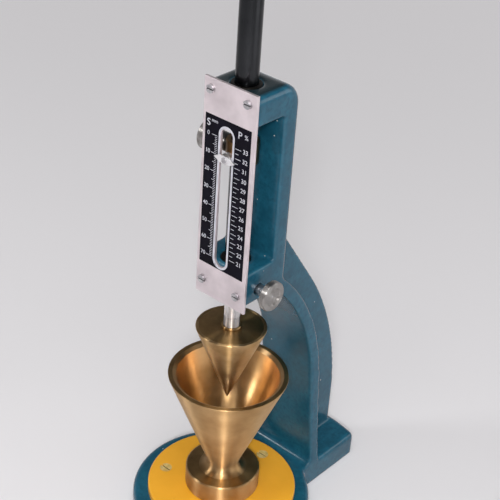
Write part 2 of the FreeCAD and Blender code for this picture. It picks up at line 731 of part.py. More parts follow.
def build_thumbscrew(name, pad_label, side, height):
    """A clamp along X: the pad at the rod, the screw behind it and the knob that turns it."""
    axis = X_AXIS * side
    place = ("0", "0", height)
    keep(turned(pad_label, [
        ("0", "rod_radius + shoe_gap"), (f"{name}_screw_radius", "rod_radius + shoe_gap"),
        (f"{name}_screw_radius", f"{name}_tip"), ("0", f"{name}_tip")], axis, place), pad_label)
    outer = f"{name}_knob_start + {name}_knob_thickness"
    seated = f"{outer} - knob_cup_depth - knob_skin"
    keep(turned(f"{name}_screw", [
        ("0", f"{name}_tip"), (f"{name}_screw_radius", f"{name}_tip"),
        (f"{name}_screw_radius", seated), ("0", seated)], axis, place), f"{name}_screw")
    keep(turned(f"{name}_knob", [
        (f"{name}_screw_radius", f"{name}_hub_start"),
        (f"{name}_hub_radius", f"{name}_hub_start"),
        (f"{name}_hub_radius", f"{name}_knob_start"),
        (f"{name}_knob_radius - knob_chamfer", f"{name}_knob_start"),
        (f"{name}_knob_radius", f"{name}_knob_start + knob_chamfer"),
        (f"{name}_knob_radius", f"{outer} - knob_chamfer"),
        (f"{name}_knob_radius - knob_chamfer", outer),
        ("knob_cup_radius", outer),
        ("knob_cup_radius - knob_cup_depth", f"{outer} - knob_cup_depth"),
        ("0", f"{outer} - knob_cup_depth"),
        ("0", seated),
        (f"{name}_screw_radius", seated)], axis, place), f"{name}_knob")


def check_document():
    """Stops the build where an object has failed or a sub-part is not a sound solid."""
    doc.recompute()
    for thing in doc.Objects:
        if "Invalid" in thing.State or "Error" in thing.State:
            raise RuntimeError(f"{thing.Name} has failed: {thing.State}")
    for thing in PARTS:
        shape = thing.Shape
        if shape.isNull() or not shape.isValid() or not shape.Solids:
            raise RuntimeError(f"{thing.Label} is not a sound solid")


def export_parts():
    """Writes each sub-part to its own STEP file and prints what it measures."""
    os.makedirs("parts", exist_ok=True)
    for thing in PARTS:
        shape = thing.Shape
        shape.exportStep(os.path.join("parts", f"{thing.Label}.step"))
        box = shape.BoundBox
        print(f"{thing.Label}: {len(shape.Solids)} solid(s), {shape.Volume:.1f} mm3, "
              f"x {box.XMin:.1f}..{box.XMax:.1f}, y {box.YMin:.1f}..{box.YMax:.1f}, "
              f"z {box.ZMin:.1f}..{box.ZMax:.1f}")


build_stand_casting()
build_bushes()
build_table()
build_mould()
build_scale_plate()
build_rod()
build_test_cone()
build_pointer()
build_thumbscrew("collar", "collar_pad", -1, "collar_screw_height")
build_thumbscrew("clamp", "clamp_shoe", 1, "clamp_height")
check_document()
export_parts()
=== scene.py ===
import logging
import math
from collections.abc import Callable, Iterable, Sequence
from dataclasses import dataclass, replace
from enum import Enum

import bmesh
import bpy
from mathutils import Matrix, Vector


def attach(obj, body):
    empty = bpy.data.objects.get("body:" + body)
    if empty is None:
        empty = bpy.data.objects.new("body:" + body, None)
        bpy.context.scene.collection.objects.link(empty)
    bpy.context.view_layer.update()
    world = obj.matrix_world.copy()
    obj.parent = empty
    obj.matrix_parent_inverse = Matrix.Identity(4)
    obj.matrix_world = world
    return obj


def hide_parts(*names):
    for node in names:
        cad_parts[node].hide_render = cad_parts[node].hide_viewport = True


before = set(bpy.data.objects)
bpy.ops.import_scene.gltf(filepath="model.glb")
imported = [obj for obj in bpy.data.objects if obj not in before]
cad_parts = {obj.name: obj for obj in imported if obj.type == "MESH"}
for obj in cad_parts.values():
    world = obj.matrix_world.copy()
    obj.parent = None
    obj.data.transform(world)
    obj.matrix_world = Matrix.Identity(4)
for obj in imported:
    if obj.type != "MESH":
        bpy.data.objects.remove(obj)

# Finished look of a vicat apparatus with a test cone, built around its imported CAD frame.
# Sizes in the classes are millimetres, and every mesh is in metres in the CAD frame: the origin is on the
# rod's axis in the underside of the base, +Z is up, and -Y is the side that the scale plate faces.

LOG = logging.getLogger("vicat")
MILLIMETRE = 0.001
PHOTO_SIDE = 500  # pixels
MERGE_GAP = 1e-6  # metres between vertices that are one
SMOOTH_ANGLE = math.radians(32)  # a sharper edge stays sharp in the shading
BREAK_ANGLE = math.radians(25)  # a sharper edge is broken on a softened copy
FLAT_ANGLE = math.radians(0.2)  # triangles that turn less than this are one face
EDGE_SEGMENTS = 3  # across a broken edge
LEFT_KNOB_HEIGHT = 241.4  # millimetres, of the collar's thumbscrew
RIGHT_KNOB_HEIGHT = 165.2  # millimetres, of the clamp screw
FACING = 0.7  # least part of a face's normal in the direction that it looks in
FACING_OUT = 0.9  # the same for a face of a knurled band, away from its axis
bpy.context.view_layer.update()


class Body(Enum):
    """The bodies of the frame that the scene's own pieces ride on."""

    STAND = "stand"
    ROD = "rod"
    COLLAR = "collar"
    COLLAR_SCREW = "collar_thumbscrew"
    CLAMP_SCREW = "clamp_thumbscrew"


class Slot(Enum):
    """Material slots, by name."""

    CASTING = "casting_enamel"
    TABLE = "table_enamel"
    BUSH = "bush_brass"
    MOULD = "mould_brass"
    CONE = "cone_brass"
    COLLAR = "collar_brass"
    SCALE = "scale_aluminium"
    ROD = "rod_steel"
    NICKEL = "nickel"
    KNOB = "knob_steel"
    SCREW = "screw_steel"


class Axis(Enum):
    """The direction that a turned piece's own Z axis points in."""

    UP = Matrix.Identity(4)
    LEFT = Matrix.Rotation(-math.pi / 2, 4, "Y")
    RIGHT = Matrix.Rotation(math.pi / 2, 4, "Y")
    FRONT = Matrix.Rotation(math.pi / 2, 4, "X")


def mm(*values: float) -> float | tuple[float, ...]:
    """Turns millimetres into metres.

    Args:
        values: One length or several.

    Returns:
        One number for one length, and otherwise a tuple.
    """
    scaled = tuple(value * MILLIMETRE for value in values)
    return scaled[0] if len(scaled) == 1 else scaled


def linear(colour: str) -> tuple[float, float, float, float]:
    """Turns an sRGB hex colour into linear RGBA.

    Args:
        colour: Six hex digits, with or without a leading hash.

    Returns:
        Linear red, green, blue and an alpha of one.
    """
    digits = colour.lstrip("#")
    parts = [int(digits[place:place + 2], 16) / 255 for place in (0, 2, 4)]
    red, green, blue = (
        part / 12.92 if part <= 0.04045 else ((part + 0.055) / 1.055) ** 2.4 for part in parts)
    return red, green, blue, 1.0


# ---------------------------------------------------------------- modelling helpers


def deselect() -> None:
    """Clears the selection, because an operator acts on all that is selected."""
    bpy.ops.object.select_all(action="DESELECT")


def activate(piece: bpy.types.Object) -> None:
    """Makes a piece the only selected and the active object.

    Args:
        piece: The object.
    """
    deselect()
    piece.select_set(True)
    bpy.context.view_layer.objects.active = piece


def added(name: str) -> bpy.types.Object:
    """Names the object that an operator has just added.

    Args:
        name: The piece's name.

    Returns:
        The new object.
    """
    piece = bpy.context.active_object
    piece.name = name
    piece.data.name = name
    return piece


def choose(piece: bpy.types.Object, kind: str, test: Callable[..., bool]) -> None:
    """Selects edges or faces of a mesh that is in edit mode.

    Args:
        piece: The object in edit mode.
        kind: "EDGE" or "FACE".
        test: Says of a bmesh edge or face whether it is selected.
    """
    bpy.ops.mesh.select_mode(type=kind)
    bpy.ops.mesh.select_all(action="DESELECT")
    shape = bmesh.from_edit_mesh(piece.data)
    for item in shape.edges if kind == "EDGE" else shape.faces:
        if test(item):
            item.select_set(True)
    shape.select_flush_mode()
    bmesh.update_edit_mesh(piece.data)


def modify(piece: bpy.types.Object, kind: str, **settings: object) -> None:
    """Adds a modifier and applies it.

    Args:
        piece: The object to change.
        kind: The modifier's type.
        settings: The modifier's own settings.
    """
    activate(piece)
    modifier = piece.modifiers.new(kind.lower(), kind)
    for key, setting in settings.items():
        setattr(modifier, key, setting)
    bpy.ops.object.modifier_apply(modifier=modifier.name)


def settle(piece: bpy.types.Object, place: Sequence[float] = (0, 0, 0),
           axis: Axis = Axis.UP) -> bpy.types.Object:
    """Turns a piece, moves it to its place and leaves its object at the origin.

    Args:
        piece: The object, modelled about the origin.
        place: Where its origin goes, in millimetres.
        axis: Where its Z axis points.

    Returns:
        The same object.
    """
    activate(piece)
    piece.matrix_world = Matrix.Translation(mm(*place)) @ axis.value @ piece.matrix_world
    bpy.ops.object.transform_apply(location=True, rotation=True, scale=True)
    return piece


def shade(piece: bpy.types.Object, weighted: bool = False) -> None:
    """Shades a piece smooth, with its sharp edges kept.

    Args:
        piece: The object to shade.
        weighted: Whether large flat faces keep their own normals beside their rounded edges.
    """
    activate(piece)
    bpy.ops.object.shade_smooth_by_angle(angle=SMOOTH_ANGLE)
    if weighted:
        modify(piece, "WEIGHTED_NORMAL", keep_sharp=True)


def joined(pieces: Sequence[bpy.types.Object], name: str) -> bpy.types.Object:
    """Joins several objects into one piece.

    Args:
        pieces: The objects.
        name: The piece's name.

    Returns:
        The joined object.
    """
    deselect()
    for piece in pieces:
        piece.select_set(True)
    bpy.context.view_layer.objects.active = pieces[0]
    bpy.ops.object.join()
    return added(name)


def softened_copy(node: str, name: str, edge: float) -> bpy.types.Object:
    """Copies a node's mesh, joins its triangles into whole faces and breaks its sharp edges.

    Args:
        node: The node's name.
        name: The piece's name.
        edge: The width of the broken edge, in millimetres.

    Returns:
        The finished copy.
    """
    piece = merged_copy(node, name)
    bpy.ops.object.mode_set(mode="EDIT")
    bpy.ops.mesh.select_all(action="SELECT")
    bpy.ops.mesh.dissolve_limited(angle_limit=FLAT_ANGLE)
    bpy.ops.object.mode_set(mode="OBJECT")
    modify(piece, "BEVEL", width=mm(edge), segments=EDGE_SEGMENTS, limit_method="ANGLE",
           angle_limit=BREAK_ANGLE)
    shade(piece, weighted=True)
    return piece


def merged_copy(node: str, name: str) -> bpy.types.Object:
    """Copies a node's mesh and merges its loose triangles.

    Args:
        node: The node's name.
        name: The piece's name.

    Returns:
        The copy, active and selected.
    """
    piece = bpy.data.objects.new(name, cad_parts[node].data.copy())
    bpy.context.scene.collection.objects.link(piece)
    activate(piece)
    if piece.data.has_custom_normals:
        bpy.ops.mesh.customdata_custom_splitnormals_clear()
    bpy.ops.object.mode_set(mode="EDIT")
    bpy.ops.mesh.select_all(action="SELECT")
    bpy.ops.mesh.remove_doubles(threshold=MERGE_GAP)
    bpy.ops.mesh.normals_make_consistent(inside=False)
    bpy.ops.object.mode_set(mode="OBJECT")
    return piece


@dataclass(frozen=True)
class Corner:
    """A corner of a turned profile, in millimetres, with the radius that rounds it."""

    radius: float
    height: float
    round: float = 0.0


@dataclass
class Lathe:
    """A turned piece: a closed profile of corners, from the axis or a bore and round to its start."""

    corners: list[Corner]
    segments: int = 160
    arc_steps: int = 5
    knurled: tuple[float, float] | None = None
    knurl_depth: float = 0.22
    knurl_margin: float = 0.1

    def path(self) -> list[tuple[float, float]]:
        """Rounds the profile's corners.

        Returns:
            The profile as (radius, height) points, in millimetres.
        """
        points: list[tuple[float, float]] = []
        count = len(self.corners)
        for index, corner in enumerate(self.corners):
            here = Vector((corner.radius, corner.height))
            if not corner.round:
                points.append(tuple(here))
                continue
            before, after = self.corners[index - 1], self.corners[(index + 1) % count]
            back = (Vector((before.radius, before.height)) - here).normalized()
            on = (Vector((after.radius, after.height)) - here).normalized()
            half = back.angle(on) / 2
            reach = corner.round / math.tan(half)
            centre = here + (back + on).normalized() * (corner.round / math.sin(half))
            start, end = here + back * reach - centre, here + on * reach - centre
            sweep = start.angle_signed(end)
            for step in range(self.arc_steps + 1):
                turn = -sweep * step / self.arc_steps
                points.append((centre.x + start.x * math.cos(turn) - start.y * math.sin(turn),
                               centre.y + start.x * math.sin(turn) + start.y * math.cos(turn)))
        return points

    def turn(self, name: str, place: Sequence[float] = (0, 0, 0), axis: Axis = Axis.UP) -> bpy.types.Object:
        """Draws the profile's first ring and extrudes it from corner to corner until the shape closes.

        Args:
            name: The piece's name.
            place: Where the piece's own origin goes, in millimetres.
            axis: Where the piece's own Z axis points.

        Returns:
            The turned mesh, unshaded.
        """
        path = self.path()
        first = next((index for index, point in enumerate(path) if point[0] > 0 >= path[index - 1][0]), 0)
        path = path[first:] + path[:first]
        deselect()
        bpy.ops.mesh.primitive_circle_add(
            vertices=self.segments, radius=mm(path[0][0]), location=(0, 0, mm(path[0][1])))
        piece = added(name)
        bpy.ops.object.transform_apply(location=True, rotation=True, scale=True)
        bpy.ops.object.mode_set(mode="EDIT")
        bpy.ops.mesh.select_mode(type="EDGE")
        bpy.ops.mesh.select_all(action="SELECT")
        radius, height = path[0]
        for next_radius, next_height in path[1:]:
            if next_radius <= 0 and radius <= 0:
                radius, height = next_radius, next_height
                continue
            if radius <= 0:
                raise RuntimeError(f"{name} leaves the axis inside its profile")
            bpy.ops.mesh.extrude_region_move(
                TRANSFORM_OT_translate={"value": (0, 0, mm(next_height - height))})
            if next_radius <= 0:
                bpy.ops.mesh.merge(type="CENTER")
            elif next_radius != radius:
                ratio = next_radius / radius
                bpy.ops.transform.resize(value=(ratio, ratio, 1), center_override=(0, 0, mm(next_height)))
            radius, height = next_radius, next_height
        if radius > 0:
            bpy.ops.mesh.extrude_region_move(
                TRANSFORM_OT_translate={"value": (0, 0, mm(path[0][1] - height))})
            ratio = path[0][0] / radius
            bpy.ops.transform.resize(value=(ratio, ratio, 1), center_override=(0, 0, mm(path[0][1])))
        else:
            choose(piece, "EDGE", lambda edge: edge.is_boundary)
            bpy.ops.mesh.extrude_region_move(
                TRANSFORM_OT_translate={"value": (0, 0, mm(path[-1][1] - path[0][1]))})
            bpy.ops.mesh.merge(type="CENTER")
        bpy.ops.mesh.select_all(action="SELECT")
        bpy.ops.mesh.remove_doubles(threshold=MERGE_GAP)
        bpy.ops.mesh.normals_make_consistent(inside=False)
        if self.knurled:
            self.cut_knurl(piece)
        bpy.ops.object.mode_set(mode="OBJECT")
        return settle(piece, place, axis)

    def cut_knurl(self, piece: bpy.types.Object) -> None:
        """Cuts straight grooves into every second face of the knurled band.

        Args:
            piece: The turned mesh in edit mode.
        """
        low, high = (mm(height) for height in self.knurled)

        def in_groove(face: bmesh.types.BMFace) -> bool:
            """Tells whether a face is an even one of the band's outer faces.

            Args:
                face: The face.

            Returns:
                Whether a groove is cut into it.
            """
            middle = face.calc_center_median()
            outward = face.normal.x * middle.x + face.normal.y * middle.y
            turn = math.atan2(middle.y, middle.x) / math.tau * self.segments
            on_band = low < middle.z < high and outward > FACING_OUT * math.hypot(middle.x, middle.y)
            return on_band and math.floor(turn) % 2 == 0

        choose(piece, "FACE", in_groove)
        bpy.ops.mesh.inset(
            thickness=mm(self.knurl_margin), depth=-mm(self.knurl_depth), use_individual=True)


# ---------------------------------------------------------------- finishes


def add_node(tree: bpy.types.NodeTree, kind: str, feeds: dict | None = None,
             **settings: object) -> bpy.types.Node:
    """Adds a node with its settings and links.

    Args:
        tree: The node tree.
        kind: The node's type.
        feeds: Values or sockets for the node's inputs, by name or number.
        settings: The node's own properties.

    Returns:
        The new node.
    """
    node = tree.nodes.new(kind)
    for key, setting in settings.items():
        setattr(node, key, setting)
    for key, feed in (feeds or {}).items():
        if isinstance(feed, bpy.types.NodeSocket):
            tree.links.new(feed, node.inputs[key])
        else:
            node.inputs[key].default_value = feed
    return node


@dataclass(frozen=True)
class Finish:
    """A material: its colours, gloss and the real sizes of its patterns in millimetres.

    Patches of the shade and the colour change over between the patch levels of a wide noise, and the
    roughness swings while that noise, or another pattern, crosses its spread.
    """

    name: str
    colour: str
    shade: str
    metallic: float = 0.0
    roughness: float = 0.4
    mottle: float = 8.0
    grain: float = 0.6
    relief: float = 0.02
    stretch: tuple[float, float, float] = (1.0, 1.0, 1.0)
    specular: float = 0.5
    swing: float = 0.12
    spread: tuple[float, float] = (0.3, 0.7)
    patch_levels: tuple[float, float] = (0.35, 0.65)

    def patches(self, tree: bpy.types.NodeTree) -> tuple[bpy.types.NodeSocket, bpy.types.NodeSocket]:
        """Adds the coordinates and the wide noise that every finish starts from.

        Args:
            tree: The material's node tree.

        Returns:
            The object coordinates in metres, and the noise.
        """
        place = add_node(tree, "ShaderNodeTexCoord").outputs["Object"]
        wide = add_node(tree, "ShaderNodeTexNoise", {
            "Vector": place, "Scale": 1 / mm(self.mottle), "Detail": 3.0, "Roughness": 0.6}).outputs[0]
        return place, wide

    def skin(self, tree: bpy.types.NodeTree, place: bpy.types.NodeSocket) -> bpy.types.NodeSocket:
        """Adds the fine grain of the surface, stretched where the finish has lines.

        Args:
            tree: The material's node tree.
            place: The object coordinates.

        Returns:
            The grain, from nought to one.
        """
        stretched = add_node(tree, "ShaderNodeMapping", {"Vector": place, "Scale": self.stretch}).outputs[0]
        return add_node(tree, "ShaderNodeTexNoise", {
            "Vector": stretched, "Scale": 1 / mm(self.grain), "Detail": 2.0, "Roughness": 0.5}).outputs[0]

    def mix(self, tree: bpy.types.NodeTree, factor: bpy.types.NodeSocket, first: object, second: object,
            levels: tuple[float, float]) -> bpy.types.NodeSocket:
        """Mixes two colours where a pattern goes from one level to another.

        Args:
            tree: The material's node tree.
            factor: The pattern.
            first: The colour, or its socket, where the pattern is low.
            second: The colour, or its socket, where the pattern is high.
            levels: Up to the one only the first shows, and from the other only the second.

        Returns:
            The mixed colour.
        """
        level = add_node(tree, "ShaderNodeMapRange", {
            "Value": factor, "From Min": levels[0], "From Max": levels[1]}).outputs[0]
        return add_node(tree, "ShaderNodeMix", {0: level, 6: first, 7: second}, data_type="RGBA").outputs[2]

    def dress(self, tree: bpy.types.NodeTree, shader: bpy.types.Node) -> None:
        """Colours the surface with its two shades, and roughens it a little.

        Args:
            tree: The material's node tree.
            shader: Its Principled shader.
        """
        place, wide = self.patches(tree)
        colour = self.mix(tree, wide, linear(self.shade), linear(self.colour), self.patch_levels)
        tree.links.new(colour, shader.inputs["Base Color"])
        self.gloss(tree, shader, wide)
        self.bump(tree, shader, self.skin(tree, place))

    def gloss(self, tree: bpy.types.NodeTree, shader: bpy.types.Node, pattern: bpy.types.NodeSocket) -> None:
        """Lets the roughness vary with a pattern.

        Args:
            tree: The material's node tree.
            shader: Its Principled shader.
            pattern: The pattern, about a half on average.
        """
        level = add_node(tree, "ShaderNodeMapRange", {
            "Value": pattern, "From Min": self.spread[0], "From Max": self.spread[1],
            "To Min": self.roughness - self.swing / 2, "To Max": self.roughness + self.swing / 2}).outputs[0]
        tree.links.new(level, shader.inputs["Roughness"])

    def bump(self, tree: bpy.types.NodeTree, shader: bpy.types.Node, height: bpy.types.NodeSocket) -> None:
        """Adds the fine relief to the shader's normal.

        Args:
            tree: The material's node tree.
            shader: Its Principled shader.
            height: The relief's height, in parts of the finish's relief.
        """
        relief = add_node(tree, "ShaderNodeBump", {
            "Height": height, "Distance": mm(self.relief), "Strength": 1.0})
        tree.links.new(relief.outputs[0], shader.inputs["Normal"])

    def build(self) -> bpy.types.Material:
        """Makes the material.

        Returns:
            The material, ready for a slot.
        """
        material = bpy.data.materials.new(self.name)
        material.use_nodes = True
        tree = material.node_tree
        shader = tree.nodes["Principled BSDF"]
        shader.inputs["Metallic"].default_value = self.metallic
        shader.inputs["Roughness"].default_value = self.roughness
        shader.inputs["Specular IOR Level"].default_value = self.specular
        material.diffuse_color = linear(self.colour)
        self.dress(tree, shader)
        return material


@dataclass(frozen=True)
class CastEnamel(Finish):
    """Air-dried enamel brushed over rough cast iron.

    It is mottled and freckled, with paler worn edges, a few bare specks and painted shade on the head's top.
    """

    swing: float = 0.10
    patch_levels: tuple[float, float] = (0.3, 0.7)
    freckle: float = 2.4
    freckle_levels: tuple[float, float] = (0.25, 0.55)
    edge: str = "#3C6A7A"
    edge_levels: tuple[float, float] = (0.52, 0.62)
    speck: str = "#B9C6C4"
    speck_spacing: float = 9.0
    speck_levels: tuple[float, float] = (0.03, 0.05)
    # Painted shade: the colour that darkens the head's top, above a height and over a short fade
    oil: str = "#17262B"
    oiled_above: float = 277.2
    oil_fade: float = 0.8
    unevenness: float = 2.2

    def dress(self, tree: bpy.types.NodeTree, shader: bpy.types.Node) -> None:
        """Mottles the paint, lightens its edges, scatters the specks, paints shade on the head's top and adds
        the skin.

        Args:
            tree: The material's node tree.
            shader: Its Principled shader.
        """
        place, wide = self.patches(tree)
        colour = self.mix(tree, wide, linear(self.shade), linear(self.colour), self.patch_levels)
        freckles = add_node(tree, "ShaderNodeTexNoise", {
            "Vector": place, "Scale": 1 / mm(self.freckle), "Detail": 1.0, "Roughness": 0.5}).outputs[0]
        colour = self.mix(tree, freckles, linear(self.shade), colour, self.freckle_levels)
        worn = add_node(tree, "ShaderNodeNewGeometry").outputs["Pointiness"]
        colour = self.mix(tree, worn, colour, linear(self.edge), self.edge_levels)
        cells = add_node(tree, "ShaderNodeTexVoronoi", {"Vector": place, "Scale": 1 / mm(self.speck_spacing)})
        colour = self.mix(tree, cells.outputs["Distance"], linear(self.speck), colour, self.speck_levels)
        # Painted shade: darkens the head's top above the given height
        height = add_node(tree, "ShaderNodeSeparateXYZ", {0: place}).outputs[2]
        colour = self.mix(tree, height, colour, linear(self.oil),
                          mm(self.oiled_above, self.oiled_above + self.oil_fade))
        tree.links.new(colour, shader.inputs["Base Color"])
        self.gloss(tree, shader, wide)
        uneven = add_node(tree, "ShaderNodeMath", {0: wide, 1: self.unevenness}, operation="MULTIPLY")
        rough = add_node(tree, "ShaderNodeMath", {0: uneven.outputs[0], 1: self.skin(tree, place)},
                         operation="ADD")
        self.bump(tree, shader, rough.outputs[0])


@dataclass(frozen=True)
class TurnedMetal(Finish):
    """Metal cut on a lathe, with rings of fine tool marks round the piece's axis.

    They draw each highlight out across them. The marks of such pieces are about 0.2 mm apart, and are drawn
    coarser here so that they show. The rotation is a part of a full turn.
    """

    metallic: float = 1.0
    swing: float = 0.10
    pitch: float = 0.8
    tarnish: float = 0.3
    drawn_out: float = 0.7
    rotation: float = 0.25
    along: str = "Z"
    height: float = 0.0

    def dress(self, tree: bpy.types.NodeTree, shader: bpy.types.Node) -> None:
        """Tarnishes the metal in soft patches, cuts the tool marks and draws the highlights out.

        Args:
            tree: The material's node tree.
            shader: Its Principled shader.
        """
        place, wide = self.patches(tree)
        turn = (0.0, math.pi / 2, 0.0) if self.along == "X" else (0.0, 0.0, 0.0)
        centred = add_node(tree, "ShaderNodeMapping", {
            "Vector": place, "Rotation": turn, "Location": (-mm(self.height), 0.0, 0.0)}).outputs[0]
        flat = add_node(tree, "ShaderNodeVectorMath", {0: centred, 1: (1.0, 1.0, 0.0)},
                        operation="MULTIPLY").outputs[0]
        radius = add_node(tree, "ShaderNodeVectorMath", {0: flat}, operation="LENGTH").outputs["Value"]
        axial = add_node(tree, "ShaderNodeSeparateXYZ", {0: centred}).outputs[2]
        ring = add_node(tree, "ShaderNodeCombineXYZ", {0: radius, 2: axial}).outputs[0]
        marks = add_node(tree, "ShaderNodeTexNoise", {
            "Vector": ring, "Scale": 1 / mm(self.pitch), "Detail": 2.0, "Roughness": 0.6}).outputs[0]
        colour = self.mix(tree, wide, linear(self.shade), linear(self.colour),
                          (0.5 - self.tarnish / 2, 0.5 + self.tarnish / 2))
        tree.links.new(colour, shader.inputs["Base Color"])
        self.gloss(tree, shader, marks)
        self.bump(tree, shader, marks)
        shader.inputs["Anisotropic"].default_value = self.drawn_out
        shader.inputs["Anisotropic Rotation"].default_value = self.rotation
        tangent = add_node(tree, "ShaderNodeTangent", direction_type="RADIAL", axis=self.along)
        tree.links.new(tangent.outputs[0], shader.inputs["Tangent"])


# Nickel plate over a turned and knurled knob: satin, with a wedge of light on its face. Each knob has its
# own, because the tool marks go round its screw's height
KNOB_FINISH = TurnedMetal("satin_nickel", "#A6A3A0", "#8F8B88", roughness=0.38, mottle=5, relief=0.005,
                          along="X", drawn_out=0.9)
FINISHES: dict[str, Finish] = {
    # Enamel brushed over cast iron: glossy, on an uneven skin of grains about a millimetre across
    "casting": CastEnamel("cast_iron_enamel", "#1D5A70", "#16495D", roughness=0.21, mottle=11, grain=1.4,
                          relief=0.03, specular=0.4),
    # Stoved enamel on turned iron: even, with a soft gloss
    "table": Finish("yellow_enamel", "#EAA92E", "#E3A32A", roughness=0.35, mottle=20, grain=1.5,
                    relief=0.006),
    # Turned brass, a little tarnished: its tool marks draw the lamps out into upright streaks
    "mould": TurnedMetal("turned_brass", "#CBA87A", "#B28E60", roughness=0.38, mottle=22, relief=0.002,
                         drawn_out=1.0),
    "cone": TurnedMetal("tarnished_brass", "#C9A97D", "#AC8A5C", roughness=0.39, mottle=12, relief=0.003,
                        drawn_out=1.0),
    # Brass bored with a fine feed: bright, with broad upright bands
    "bored": TurnedMetal("bored_brass", "#CFA979", "#B08A5A", roughness=0.33, mottle=22, relief=0.0006,
                         drawn_out=0.75),
    # Brass faced with a fine feed: smoother, and coloured darker as painted shade, dark but for a wedge of
    # light
    "faced": TurnedMetal("shaded_faced_brass", "#AE8D5E", "#8F7046", roughness=0.36, mottle=14, relief=0.003,
                         drawn_out=0.9),
    # Turned brass, coloured dull and brown as painted shade where the collar sits behind the plate
    "collar": TurnedMetal("shaded_dark_brass", "#8F7049", "#6B5234", roughness=0.38, relief=0.003),
    # Turned bronze, coloured nearly black as painted shade like the head's top that it sits in
    "bush": TurnedMetal("shaded_bronze", "#2E2C29", "#211F1D", roughness=0.5, mottle=6, relief=0.003,
                        drawn_out=0.3),
    # Blackened and polished bar: dark, with a long highlight
    "rod": TurnedMetal("polished_steel", "#37383A", "#2B2C2E", roughness=0.20, mottle=30, relief=0.0006,
                       drawn_out=0.6),
    # Nickel plate over turned brass: pale and satin
    "nickel": TurnedMetal("nickel_plate", "#E4E2E4", "#D2D0D2", roughness=0.4, mottle=6, relief=0.003,
                          drawn_out=0.9),
    "knob_left": replace(KNOB_FINISH, name="satin_nickel_left", height=LEFT_KNOB_HEIGHT),
    "knob_right": replace(KNOB_FINISH, name="satin_nickel_right", height=RIGHT_KNOB_HEIGHT),
    # Rolled aluminium sheet: fine lines along the plate
    "plate": Finish("rolled_aluminium", "#E2D8DB", "#CFC5C8", metallic=1.0, roughness=0.52, mottle=16,
                    grain=0.5, relief=0.006, stretch=(6.0, 1.0, 0.08)),
    # Zinc plate over cut steel screws: dull grey, or yellow where it was passivated
    "screw": Finish("zinc_plate", "#C4C2C4", "#9A989C", metallic=1.0, roughness=0.35, mottle=3, grain=0.4,
                    relief=0.006),
    "gold_screw": Finish("yellow_zinc_plate", "#F2D995", "#DDBB68", metallic=0.4, roughness=0.4, mottle=3,
                         grain=0.4, relief=0.006),
    # Painted shade on the floor of a screw's slot: black and dull
    "slot_shade": Finish("painted_slot_shade", "#1B1814", "#100E0C", roughness=0.6, mottle=2, grain=0.3, relief=0.01),
    # Screen-printed ink on the plate: flat and dull
    "panel": Finish("black_ink", "#0E0C17", "#08070D", roughness=0.5, mottle=14, grain=0.5, relief=0.004,
                    specular=0.06),
    "figure": Finish("pale_ink", "#C6C6CE", "#B2B2BB", roughness=0.5, mottle=6, grain=0.4, relief=0.004,
                     specular=0.25),
}


class Paintbox:
    """Makes each finish once and puts it on pieces."""

    def __init__(self) -> None:
        """Starts with no material made."""
        self._made: dict[str, bpy.types.Material] = {}

    def material(self, finish: str) -> bpy.types.Material:
        """Gives a finish's material, made on first use.

        Args:
            finish: The finish's key.

        Returns:
            The material.
        """
        if finish not in self._made:
            self._made[finish] = FINISHES[finish].build()
        return self._made[finish]

    def paint(self, piece: bpy.types.Object, finish: str) -> None:
        """Puts a finish on all of a piece."""
        piece.data.materials.clear()
        piece.data.materials.append(self.material(finish))

    def paint_node(self, node: str, finish: str) -> None:
        """Assigns a finish to a CAD node's own material slots.

        Args:
            node: The node's name.
            finish: The finish's key.
        """
        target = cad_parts[node]
        if not target.data.materials:
            target.data.materials.append(self.material(finish))
        for slot in target.material_slots:
            slot.material = self.material(finish)


PAINT = Paintbox()


def refinish(piece: bpy.types.Object, finish: str, test: Callable[[bmesh.types.BMFace], bool]) -> None:
    """Gives some faces of a painted piece a finish of their own.

    Args:
        piece: The piece, already painted all over.
        finish: The finish's key.
        test: Says of a face whether it takes the finish.
    """
    activate(piece)
    piece.data.materials.append(PAINT.material(finish))
    piece.active_material_index = len(piece.data.materials) - 1
    bpy.ops.object.mode_set(mode="EDIT")
    choose(piece, "FACE", test)
    bpy.ops.object.material_slot_assign()
    bpy.ops.object.mode_set(mode="OBJECT")


def hand_over(piece: bpy.types.Object, body: Body, finish: str,
              replaces: Iterable[str] = ()) -> None:
    """Gives a finished piece its finish and body, hides the nodes that it stands for, and reports it.

    Args:
        piece: The finished object.
        body: The body that it rides on.
        finish: The finish's key.
        replaces: The nodes that it stands for.
    """
    PAINT.paint(piece, finish)
    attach(piece, body.value)
    if replaces:
        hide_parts(*replaces)
    LOG.info("%s: %d faces, on %s", piece.name, len(piece.data.polygons), body.value)


# ---------------------------------------------------------------- the object's sub-assemblies


